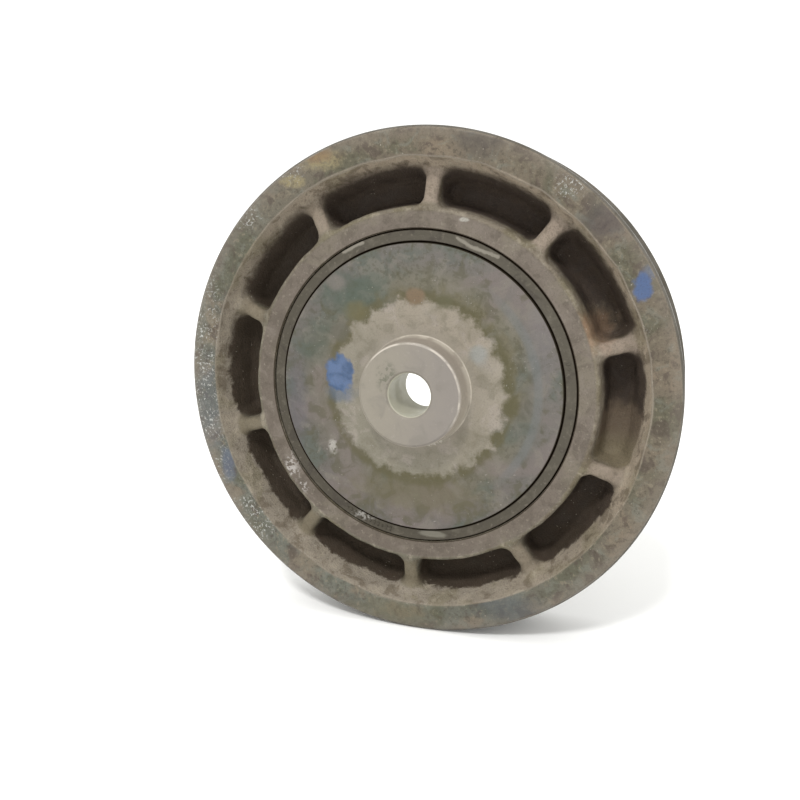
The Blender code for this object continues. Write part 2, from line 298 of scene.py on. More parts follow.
def hub_finish():
    finish = Finish("machined_iron_with_oil_and_print")
    cloud = finish.noise(18, 3, 0.5, shift=3, warp=0.5)
    patch = finish.noise(6, 4, 0.55, shift=11, warp=0.6)
    fleck = finish.noise(1.6, 4, 0.65, shift=17)
    grain = finish.noise(0.5, 2, 0.6, shift=5)
    outer = finish.drift((115, 110, 105), (125, 120, 115))
    inner = finish.drift((120, 115, 105), (130, 125, 110))
    face = finish.mix(finish.step(finish.radius, 35, 43), inner, outer)
    face = finish.stained(
        face,
        (finish.step(cloud, 0.50, 0.62, 0, 0.60), lit(96, 106, 96)),
        (finish.step(cloud, 0.48, 0.36, 0, 0.55), lit(136, 125, 121)),
        (finish.step(patch, 0.52, 0.64, 0, 0.60), lit(100, 97, 78)),
        (finish.step(patch, 0.47, 0.36, 0, 0.50), lit(140, 134, 124)),
        (finish.all_of(finish.step(fleck, 0.50, 0.62, 0, 0.5), finish.step(cloud, 0.40, 0.55)),
         lit(92, 90, 74)),
        (finish.math("MULTIPLY", finish.spot(-22, 31, 24, 13, 0.6, 0.8), 0.55), lit(88, 101, 91)),
        (finish.math("MULTIPLY", finish.spot(-36, 14, 12, 14, 0.6, 0.8), 0.45), lit(92, 100, 88)),
        (finish.math("MULTIPLY", finish.spot(-43, -8, 7, 30, 0.6, 0.6), 0.40), lit(108, 106, 114)),
        (finish.math("MULTIPLY", finish.spot(0, -35, 46, 12, 0.6, 0.8), 0.55), lit(114, 107, 82)),
        (finish.math("MULTIPLY", finish.spot(40, 18, 9, 26, 0.6, 0.6), 0.4), lit(130, 126, 127)),
        (finish.math("MULTIPLY", finish.spot(35, -6, 9, 30, 0.6, 0.8), 0.4), lit(104, 106, 100)))
    band = finish.all_of(finish.step(finish.radius, 37.4, 38.6),
                         finish.step(finish.radius, 41.4, 40.0),
                         finish.step(finish.x, 20, 32), finish.step(finish.z, -34, -22))
    face = finish.mix(finish.math("MULTIPLY", band, 0.40), face, lit(124, 129, 130))
    wobble = finish.math("MULTIPLY", finish.math("SUBTRACT", finish.noise(7, 2, shift=27), 0.5),
                         0.03)
    turn = finish.math("ADD", finish.turn, wobble)
    tooth_count, tooth_height = 21, 1.4
    teeth = finish.math("COSINE", finish.math("MULTIPLY", turn, tooth_count * math.tau))
    teeth = finish.math("MULTIPLY", teeth, -tooth_height)
    clear = finish.math("MAXIMUM", finish.step(finish.x, -2, 14), finish.step(finish.z, 8, 20))
    clear = finish.math("MULTIPLY", clear, finish.step(finish.noise(9, 2, shift=29), 0.36, 0.56,
                                                       0.25, 1.0))
    teeth = finish.math("MULTIPLY", teeth, finish.math("MAXIMUM", clear, 0.2))
    ragged = finish.math("MULTIPLY", finish.math("SUBTRACT", finish.noise(3.6, 5, 0.65, shift=2),
                                                 0.5), 8.5)
    beyond = finish.math("ADD", finish.math("ADD", teeth, ragged),
                         finish.math("SUBTRACT", finish.radius, 28.7))
    printed = finish.step(beyond, 1.5, -1.3)
    oily = finish.step(finish.noise(12, 3, shift=21), 0.38, 0.60, 31.5, 36.0)
    halo = finish.step(finish.math("SUBTRACT", finish.radius, oily), 1.0, -3.6)
    oiled = finish.math("MAXIMUM", finish.step(finish.x, -18, 10), finish.step(finish.z, 4, 20))
    halo = finish.all_of(halo, finish.step(patch, 0.34, 0.60, 0.20, 0.85),
                         finish.step(oiled, 0, 1, 0.35, 1.0))
    face = finish.mix(halo, face, finish.mix(finish.step(fleck, 0.35, 0.65), lit(104, 99, 76),
                                             lit(128, 121, 99)))
    gap = finish.all_of(finish.step(beyond, -1.2, 0.8), finish.step(finish.radius, 33.0, 30.8),
                        finish.step(patch, 0.36, 0.50, 0.35, 1.0))
    face = finish.mix(finish.math("MULTIPLY", gap, 0.75), face, lit(103, 98, 73))
    beige = finish.drift((150, 145, 130), (170, 160, 145), 40)
    beige = finish.stained(
        beige,
        (finish.step(cloud, 0.50, 0.64, 0, 0.5), lit(172, 164, 150)),
        (finish.step(patch, 0.52, 0.64, 0, 0.55), lit(138, 132, 117)),
        (finish.step(patch, 0.46, 0.34, 0, 0.6), lit(178, 168, 158)),
        (finish.step(fleck, 0.56, 0.68, 0, 0.35), lit(128, 123, 106)))
    thin = finish.step(finish.noise(8, 4, shift=47), 0.34, 0.50, 0.72, 0.98)
    face = finish.mix(finish.math("MULTIPLY", printed, thin), face, beige)
    paint = finish.spot(-27.2, 4.0, 10.0, 12.0, 0.14, 0.45)
    smear = finish.spot(-26.5, -2.6, 9.5, 5.5, 0.5, 0.5)
    pale = finish.spot(20, 12.5, 5.5, 5.5, 0.45, 0.45)
    face = finish.stained(
        face,
        (finish.math("MULTIPLY", finish.spot(-0.8, 30.2, 6.5, 5, 0.35), 0.85), lit(139, 119, 98)),
        (finish.math("MULTIPLY", finish.spot(-21, 25, 8, 6, 0.45), 0.7), lit(117, 111, 82)),
        (finish.math("MULTIPLY", finish.spot(9, 28.8, 5.5, 4.5, 0.4), 0.75), lit(108, 105, 82)),
        (finish.math("MULTIPLY", finish.spot(-27, 18, 7, 6.5, 0.35), 0.7), lit(112, 109, 98)),
        (finish.math("MULTIPLY", finish.spot(31, -3, 5, 7, 0.4), 0.75), lit(104, 99, 74)),
        (finish.math("MULTIPLY", finish.spot(-28, 34, 7, 5, 0.4), 0.5), lit(142, 133, 127)),
        (finish.math("MULTIPLY", pale, 0.75), lit(164, 166, 162)),
        (finish.math("MULTIPLY", smear, 0.6), lit(100, 116, 138)),
        (finish.math("MULTIPLY", paint, 0.95),
         finish.mix(finish.step(patch, 0.4, 0.6), lit(78, 102, 138), lit(106, 128, 166))))
    specks = finish.all_of(finish.step(finish.noise(0.8, 2, 0.6, shift=31), 0.66, 0.72),
                           finish.step(finish.noise(8, 3, shift=33), 0.50, 0.60))
    chips = finish.math("MULTIPLY", finish.spot(-30, -21.5, 2.6, 4.4, 0.5, 0.9),
                        finish.step(fleck, 0.42, 0.5))
    stamp = finish.all_of(finish.spot(12.8, 40.4, 4.6, 2.6, 0.3, 0.3),
                          finish.step(fleck, 0.5, 0.42))
    face = finish.stained(
        face,
        (finish.math("MULTIPLY", specks, 0.7), lit(176, 172, 164)),
        (finish.math("MULTIPLY", chips, 0.85), lit(190, 186, 178)),
        (finish.math("MULTIPLY", stamp, 0.55), lit(84, 86, 78)),
        (finish.step(grain, 0.46, 0.70, 0.0, 0.20), lit(96, 92, 84)))
    metal = finish.mix(finish.step(finish.math("ADD", finish.x,
                                               finish.math("MULTIPLY", patch, 20)), -4, 24),
                       lit(165, 158, 145), lit(156, 149, 142))
    metal = finish.stained(
        metal,
        (finish.step(patch, 0.52, 0.66, 0, 0.4), lit(146, 141, 131)),
        (finish.math("MULTIPLY", finish.spot(-7.5, 5, 6, 9, 0.5),
                     finish.step(fleck, 0.46, 0.6, 0.1, 0.75)), lit(112, 114, 98)),
        (finish.step(fleck, 0.60, 0.70, 0, 0.4), lit(178, 171, 161)))
    upward = finish.math("ADD", finish.z, finish.math("MULTIPLY", finish.x, 0.6))
    # Painted shading: the spigot's side wall is painted paler low down and darker at the top,
    # against the lamp's light on it.
    wall = finish.all_of(finish.step(finish.depth, -8.6, -8.2),
                         finish.step(finish.radius, 16.0, 16.6))
    metal = finish.mix(wall, metal, finish.mix(finish.step(finish.z, -6, 14), lit(196, 186, 172),
                                               lit(172, 162, 150)))
    upper_right = finish.step(upward, -6, 8)
    # Painted highlight: a bright line on the spigot tip's edge, only on the upper right, where the
    # lamp catches it.
    tip_edge_highlight = finish.step(finish.math("ABSOLUTE", finish.math("SUBTRACT", finish.radius, 16.45)),
                            0.4, 0.1)
    tip_edge_highlight = finish.all_of(tip_edge_highlight, finish.step(patch, 0.38, 0.56, 0.3, 1.0), upper_right)
    metal = finish.mix(tip_edge_highlight, metal, lit(224, 215, 202))
    # Painted highlight: a bright line in the spigot's root fillet, on its upper right.
    root_highlight = finish.step(finish.math("ABSOLUTE", finish.math("SUBTRACT", finish.radius, 17.8)), 0.45,
                       0.1)
    root_highlight = finish.all_of(root_highlight, finish.step(patch, 0.38, 0.56, 0.3, 1.0),
                         finish.step(upward, -14, 0))
    flecks = finish.step(finish.math("ABSOLUTE", finish.math("SUBTRACT", finish.radius, 18.4)),
                         0.9, 0.2)
    flecks = finish.all_of(flecks, finish.step(fleck, 0.54, 0.62), finish.step(finish.z, -4, -12))
    # Painted light: the face is painted paler round the spigot's root, to cancel the shade that
    # the spigot throws there.
    face = finish.mix(finish.step(finish.radius, 22, 18, 0, 0.5), face, lit(174, 166, 153))
    face = finish.mix(flecks, face, lit(198, 192, 180))
    face = finish.mix(finish.step(finish.depth, -1.2, -2.0), face, metal)
    face = finish.mix(root_highlight, face, lit(214, 205, 190))
    # Painted shade: the hub's outer edge along the gap to the rubber is painted dark, and made
    # rough and dull.
    hub_gap_shade = finish.all_of(finish.step(finish.radius, HUB_RADIUS - 0.35, HUB_RADIUS - 0.1),
                          finish.step(finish.depth, 19.0, 18.6))
    face = finish.mix(hub_gap_shade, face, lit(66, 61, 53))
    front = finish.all_of(finish.step(finish.depth, 5.0, 6.0),
                          finish.step(finish.radius, 7.2, 7.4))
    plain = finish.stained(
        finish.mix(finish.step(cloud, 0.30, 0.70), lit(108, 104, 95), lit(134, 128, 118)),
        (finish.step(patch, 0.48, 0.74, 0, 0.5), lit(98, 90, 78)),
        (finish.step(fleck, 0.55, 0.70, 0, 0.4), lit(126, 106, 86)),
        (finish.math("MULTIPLY", finish.step(finish.radius, 21.2, 20.8), 0.8), lit(156, 150, 142)))
    face = finish.mix(front, face, plain)
    face = finish.mix(finish.step(finish.radius, 7.35, 7.15), face, lit(206, 203, 184))
    relief = finish.bump(finish.turning_marks(), 0.005)
    relief = finish.bump(finish.noise(0.9, 3, 0.65, shift=4), 0.07, relief)
    relief = finish.bump(finish.math("ADD", printed, paint), 0.05, relief)
    relief = finish.bump(patch, 0.25, relief)
    rough = finish.math("MAXIMUM", finish.step(patch, 0.34, 0.62, 0.40, 0.60), hub_gap_shade)
    return finish.done(face, rough, relief, 0.1, finish.step(hub_gap_shade, 0, 1, 0.3, 0.02))


hub_shape = bmesh.new()
turned(hub_shape, hub_outline())
ten_times(hub_shape)
piece("hub_turned", hub_shape, hub_finish(), "hub", "hub")

# DAMPER RUBBER. A ring of black rubber cured in place between the hub and the cast ring. Its
# end faces dish a little between grooves at both bonds, and carry raised mould marks.
RUBBER_INSIDE = HUB_RADIUS + 0.3
RUBBER_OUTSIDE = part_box("damper_rubber")[1].x / MM
RUBBER_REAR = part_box("damper_rubber")[0].y / MM - SEAT_DEPTH
RUBBER_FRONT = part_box("damper_rubber")[1].y / MM - SEAT_DEPTH


def rubber_outline():
    middle = (RUBBER_INSIDE + RUBBER_OUTSIDE) / 2
    dish, recess, fill = 0.25, 1.6, 0.25
    return rounded([
        (RUBBER_INSIDE, RUBBER_REAR, 0.45), (middle, RUBBER_REAR + dish, 1.5),
        (RUBBER_OUTSIDE, RUBBER_REAR, 0.45), (RUBBER_OUTSIDE, RUBBER_REAR + recess, 0),
        (RUBBER_OUTSIDE + fill, RUBBER_REAR + recess + fill, 0),
        (RUBBER_OUTSIDE + fill, RUBBER_FRONT - recess - fill, 0),
        (RUBBER_OUTSIDE, RUBBER_FRONT - recess, 0), (RUBBER_OUTSIDE, RUBBER_FRONT, 0.45),
        (middle, RUBBER_FRONT - dish, 1.5),
        (RUBBER_INSIDE, RUBBER_FRONT, 0.45), (RUBBER_INSIDE, RUBBER_FRONT - recess, 0),
        (RUBBER_INSIDE - fill, RUBBER_FRONT - recess - fill, 0),
        (RUBBER_INSIDE - fill, RUBBER_REAR + recess + fill, 0),
        (RUBBER_INSIDE, RUBBER_REAR + recess, 0)])


def rubber_finish():
    finish = Finish("aged_rubber")
    dust = finish.noise(7, 4, 0.6, shift=6, warp=0.4)
    fleck = finish.noise(1.3, 4, 0.65, shift=16)
    base = finish.drift((90, 85, 75), (100, 95, 85))
    chalk = finish.strokes([((12.5, 48.6), (17, 46)), ((17, 46), (25.5, 43)),
                            ((-25.5, 43.7), (-22, 45.6)), ((-22, 45.6), (-19, 46.8))], 0.8)
    pad = finish.spot(5, -48.6, 9, 2.2, 0.3)
    shine = finish.all_of(finish.spot(-19, -44.6, 9, 3.0, 0.4), finish.step(fleck, 0.46, 0.56))
    rear = finish.step(finish.depth, 6, 4)
    base = finish.stained(
        base,
        (finish.step(dust, 0.46, 0.34, 0, 0.5), lit(72, 66, 61)),
        (finish.step(dust, 0.54, 0.68, 0, 0.5), lit(124, 118, 107)),
        (finish.step(fleck, 0.56, 0.68, 0, 0.5), lit(134, 126, 114)),
        (finish.all_of(chalk, rear, 0.8), lit(160, 154, 142)),
        (finish.all_of(pad, rear, 0.6), lit(150, 146, 134)),
        (finish.all_of(shine, rear, 0.8), lit(176, 172, 166)))
    middle = (RUBBER_INSIDE + RUBBER_OUTSIDE) / 2
    away = finish.math("ABSOLUTE", finish.math("SUBTRACT", finish.radius, middle))
    # Painted shade: the rubber's edges along both gaps, to the hub and to the ring, are painted
    # dark, rough and dull.
    side = finish.step(away, (RUBBER_OUTSIDE - RUBBER_INSIDE) / 2 - 0.45,
                       (RUBBER_OUTSIDE - RUBBER_INSIDE) / 2 - 0.1)
    base = finish.mix(side, base, lit(52, 47, 42))
    relief = finish.bump(finish.noise(0.7, 3, 0.65, shift=8), 0.10)
    relief = finish.bump(dust, 0.3, relief)
    rough = finish.math("MAXIMUM", finish.step(dust, 0.3, 0.7, 0.55, 0.75), side)
    return finish.done(base, rough, relief, 0.0, finish.step(side, 0, 1, 0.25, 0.02))


rubber_shape = bmesh.new()
turned(rubber_shape, rubber_outline())
ten_times(rubber_shape)
rubber_material = rubber_finish()
piece("rubber_ring", rubber_shape, rubber_material, "rubber", "damper_rubber")


def mould_marks(shape, first_angle, count, pitch):
    """Small raised pads in a row along the rubber's rear face, in no script."""
    middle = (RUBBER_INSIDE + RUBBER_OUTSIDE) / 2
    for mark in range(count):
        tall = 1.5 if mark % 3 else 0.8
        pad = bmesh.ops.create_cube(shape, size=MM)["verts"]
        bmesh.ops.scale(shape, verts=pad, vec=(tall, 0.3, 0.55))
        bmesh.ops.translate(shape, verts=pad,
                            vec=(middle * MM, (RUBBER_REAR + 0.12 + SEAT_DEPTH) * MM, 0))
        spin = Matrix.Rotation(-math.radians(first_angle + mark * pitch), 3, "Y")
        bmesh.ops.rotate(shape, verts=pad, cent=(0, 0, 0), matrix=spin)
    bmesh.ops.bevel(shape, geom=shape.edges[:], offset=0.12 * MM, offset_type="OFFSET", segments=2,
                    profile=0.5, affect="EDGES", material=-1)


mark_shape = bmesh.new()
mould_marks(mark_shape, 239.5, 12, 1.75)
mould_marks(mark_shape, 11.0, 2, 1.9)
piece("rubber_mould_marks", mark_shape, rubber_material, "rubber")

# PULLEY RING. One iron casting: the inner ring that the rubber grips, ten ribs with pockets
# between them, the web and the rim. The faces, flanges and six belt grooves are turned after
# casting; ribs and pockets keep the sand-cast skin, with oil and dust in them. The pockets'
# shadow, the lip's highlight and the shade at the gap edges are painted into the colour.
RIBS = 10
HALF_PITCH = math.pi / RIBS
RING_INSIDE = RUBBER_OUTSIDE + 0.3
RING_OUTSIDE = 58.1
RING_FACE = 0.3
RING_FRONT = 21.0
RIM_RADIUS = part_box("pulley_ring")[1].x / MM
RIM_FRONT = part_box("pulley_ring")[1].y / MM - SEAT_DEPTH
FLANGE_FACE = -1.5
LIP = RIM_RADIUS - 9.0
RIB_TOP_HALF = 1.9
RIB_FALL = 0.4
RIB_DROP = 5.0
RIB_DRAFT = math.radians(7)
RING_DRAFT = math.radians(6)
RIM_SLOPE = math.radians(24)
POCKET_FLOOR = 14.5
POCKET_FILLET = 2.5
BAY_INSIDE = 55.6
BAY_OUTSIDE_DEPTH = -0.1


def ring_wall(depth):
    return RING_OUTSIDE + (depth - RING_FACE) * math.tan(RING_DRAFT)


def rim_wall(depth):
    return LIP - (depth - FLANGE_FACE) * math.tan(RIM_SLOPE)


def rib_half(depth):
    return RIB_TOP_HALF + max(depth - RING_FACE, 0) * math.tan(RIB_DRAFT)


def rib_top(radius):
    """Depth of a rib's back at a radius: level with the ring, then falling to the rim."""
    out = radius - RING_OUTSIDE
    fall = RIB_FALL * (max(out + 0.4, 0) ** 2 / 1.6 if out < 0.4 else out)
    return RING_FACE + min(fall, RIB_DROP)


def joined(first, second, fillet):
    """Distance to two bodies grown together with a fillet."""
    return (max(fillet, min(first, second))
            - math.hypot(max(fillet - first, 0), max(fillet - second, 0)))


def trimmed(first, second, edge):
    """Distance to the overlap of two bodies, with its edge rounded."""
    return (min(-edge, max(first, second))
            + math.hypot(max(edge + first, 0), max(edge + second, 0)))


def cast_gap(radius, off_rib, depth):
    """Distance from a point in the bay to the cast iron, below zero inside the iron."""
    ring = (radius - ring_wall(depth)) * math.cos(RING_DRAFT)
    rib = (off_rib - rib_half(depth)) * math.cos(RIB_DRAFT)
    rim = (rim_wall(depth) - radius) * math.cos(RIM_SLOPE)
    bars = trimmed(joined(ring, rib, 3.0), rib_top(radius) - depth, 1.5)
    return joined(joined(bars, rim, 4.2), POCKET_FLOOR - depth, POCKET_FILLET)


def cast_depth(radius, off_rib):
    """Depth of the cast skin below a place in the bay."""
    above, below = -3.0, 16.0
    for _ in range(26):
        middle = (above + below) / 2
        if cast_gap(radius, off_rib, middle) > 0:
            above = middle
        else:
            below = middle
    return below


def pocket_line(inner, outer, rib_gap, corners, crowd):
    """One closed line round a pocket as (along, across) points from the pulley's axis."""
    def spread(count):
        for index in range(count):
            even = 2 * index / count - 1
            yield (1 - crowd) * even + crowd * math.sin(even * math.pi / 2)

    def end(radius):
        return HALF_PITCH - math.asin(rib_gap(radius) / radius)

    rise = (outer - inner) / 2
    middle = (outer + inner) / 2
    sides = [[(inner, end(inner) * share) for share in spread(36)],
             [(middle + rise * share, end(middle + rise * share)) for share in spread(16)],
             [(outer, -end(outer) * share) for share in spread(36)],
             [(middle - rise * share, -end(middle - rise * share)) for share in spread(16)]]
    sides = [[Vector((r * math.cos(a), r * math.sin(a))) for r, a in side] for side in sides]
    line = []
    for number, side in enumerate(sides):
        before, after = sides[number - 1], sides[(number + 1) % 4]
        here, there = side[0].copy(), after[0].copy()
        out_here, out_there = (side[1] - here).normalized(), (side[-1] - there).normalized()
        back_here, back_there = (before[-1] - here).normalized(), (after[1] - there).normalized()
        corner_here, corner_there = corners[number > 1], corners[0 < number < 3]
        for point in side:
            for tip, ahead, aside, corner in ((here, out_here, back_here, corner_here),
                                              (there, out_there, back_there, corner_there)):
                away = (point - tip).length
                if away < corner:
                    bend = (1 - away / corner) * math.pi / 4
                    point = tip + corner * (ahead * (1 - math.sin(bend))
                                            + aside * (1 - math.cos(bend)))
                    break
            line.append(point)
    return line


def pocket_lines():
    """Lines round one pocket, from the ribs' middles over the edges and down to the floor."""
    border = rim_wall(BAY_OUTSIDE_DEPTH)
    rib_end = RING_FACE + RIB_DROP
    wall_end = POCKET_FLOOR - 2.3
    lines = []
    for share in (0, 0.3, 0.5, 0.64, 0.75, 0.84, 0.91, 0.965):
        lines.append(pocket_line(
            BAY_INSIDE + (RING_OUTSIDE - BAY_INSIDE) * share ** 0.7,
            border + (rim_wall(rib_end) - border) * share,
            lambda radius: share * rib_half(rib_top(radius)),
            (3.0 * share, 4.2 * share), 0.5 * min(share * 2, 1)))
    for step in range(8):
        share = (step + 0.1) / 7.1
        lines.append(pocket_line(
            ring_wall(RING_FACE + (wall_end - RING_FACE) * share),
            rim_wall(rib_end + (wall_end - rib_end) * share),
            lambda radius: rib_half(rib_top(radius) + (wall_end - rib_top(radius)) * share),
            (3.0, 4.2), 0.5))
    for share in (0.06, 0.16, 0.3, 0.48, 0.72, 1.0, 1.25):
        lines.append(pocket_line(
            ring_wall(wall_end) + 2.5 * share, rim_wall(wall_end) - 2.6 * share,
            lambda radius: rib_half(wall_end) + 2.5 * share,
            (3.0 - 2.0 * min(share, 1), 4.2 - 2.6 * min(share, 1)), 0.5))
    return lines


def cast_bay(shape):
    """One tenth of the cast bay, its border drawn in line by line down to the pocket's floor."""
    rank = shape.verts.layers.int.new("rank")
    middle = math.radians(RIB_PHASE) + HALF_PITCH

    def settle(verts, line, first):
        for vert in verts:
            along, across = line[vert[rank]]
            radius, angle = math.hypot(along, across), math.atan2(across, along)
            depth = cast_depth(radius, radius * math.sin(HALF_PITCH - abs(angle)))
            if first and radius < BAY_INSIDE + 0.001:
                depth = RING_FACE
            if first and radius > rim_wall(BAY_OUTSIDE_DEPTH) - 0.001:
                depth = BAY_OUTSIDE_DEPTH
            vert.co = Vector((radius * math.cos(middle + angle), depth + SEAT_DEPTH,
                              radius * math.sin(middle + angle))) * MM

    lines = pocket_lines()
    ring = [shape.verts.new() for _ in lines[0]]
    for number, vert in enumerate(ring):
        vert[rank] = number
    edges = [shape.edges.new((ring[i - 1], ring[i])) for i in range(len(ring))]
    settle(ring, lines[0], True)
    for line in lines[1:]:
        made = bmesh.ops.extrude_edge_only(shape, edges=edges)["geom"]
        ring = [item for item in made if isinstance(item, bmesh.types.BMVert)]
        rim = set(ring)
        edges = [item for item in made if isinstance(item, bmesh.types.BMEdge)
                 and item.verts[0] in rim and item.verts[1] in rim]
        settle(ring, line, False)
    bmesh.ops.contextual_create(shape, geom=edges)


def ring_outline():
    """The turned outside, from the inner ring's rear face round the front to the lip."""
    tip, root_depth, pitch, grooves = RIM_RADIUS - 2.2, 2.7, 3.56, 6
    web_front, rim_inside = POCKET_FLOOR + 4.5, RIM_RADIUS - 2.2 - 2.7 - 4.6
    rear, front_flange = FLANGE_FACE + 4.0, RIM_RADIUS - 0.7
    width = RIM_FRONT - 2.6 - rear
    start = rear + (width - grooves * pitch) / 2
    corners = [(BAY_INSIDE, RING_FACE, 0), (RING_INSIDE + 0.35, RING_FACE, 0.1),
               (RING_INSIDE, RING_FACE + 0.35, 0.1), (RING_INSIDE, RING_FRONT - 0.6, 0.1),
               (RING_INSIDE + 0.6, RING_FRONT, 0.1), (RING_OUTSIDE, RING_FRONT, 0.6),
               (RING_OUTSIDE + 1.0, web_front, 1.6), (rim_inside, web_front, 2.6),
               (rim_inside + 1.0, RIM_FRONT, 0.6), (front_flange - 0.8, RIM_FRONT, 0.15),
               (front_flange, RIM_FRONT - 0.8, 0.15), (front_flange, rear + width + 0.6, 0.2),
               (tip, rear + width - 0.4, 0.2)]
    for groove in reversed(range(grooves)):
        middle = start + (groove + 0.5) * pitch
        corners += [(tip, middle + 1.45, 0.22), (tip - root_depth, middle + 0.3, 0.25),
                    (tip - root_depth, middle - 0.3, 0.25), (tip, middle - 1.45, 0.22)]
    corners += [(tip, rear + 0.4, 0.2), (RIM_RADIUS, rear - 0.6, 0.2),
                (RIM_RADIUS, FLANGE_FACE + 1.2, 0.25), (RIM_RADIUS - 1.2, FLANGE_FACE, 0.25),
                (LIP + 2.2, FLANGE_FACE, 0), (LIP, FLANGE_FACE, 1.9),
                (rim_wall(BAY_OUTSIDE_DEPTH), BAY_OUTSIDE_DEPTH, 0)]
    return rounded(corners, 3)


def roughen(shape):
    """The sand's unevenness on every surface that was left as cast, and so in the lip's line."""
    shape.normal_update()
    for vert in shape.verts:
        radius, depth = math.hypot(vert.co.x, vert.co.z) / MM, vert.co.y / MM - SEAT_DEPTH
        place = vert.co / MM
        lump = (noise.noise(place / 6.0) * 0.26 + noise.noise(place / 2.2) * 0.12
                + noise.noise(place / 0.9) * 0.04)
        rear = min(max(min((radius - 56.2) / 1.5, 16 - depth), 0), 1)
        rear *= min(max((LIP + 1.5 - radius) / 1.2, 0), 1)
        front = min(max(min(radius - 60, 72.5 - radius, depth - 16), 0), 1)
        if rear and depth < 2:
            outward = Vector((vert.co.x, 0, vert.co.z)).normalized()
            sway = noise.noise(place / 9.0) * 0.75
            vert.co += outward * sway * rear * MM * min(max((radius - 68) / 3, 0), 1)
        if front or (rear and depth > FLANGE_FACE + 0.3):
            level = min(max((depth - FLANGE_FACE - 0.3) / 1.5, 0), 1)
            vert.co += vert.normal * lump * max(rear * level, front) * MM


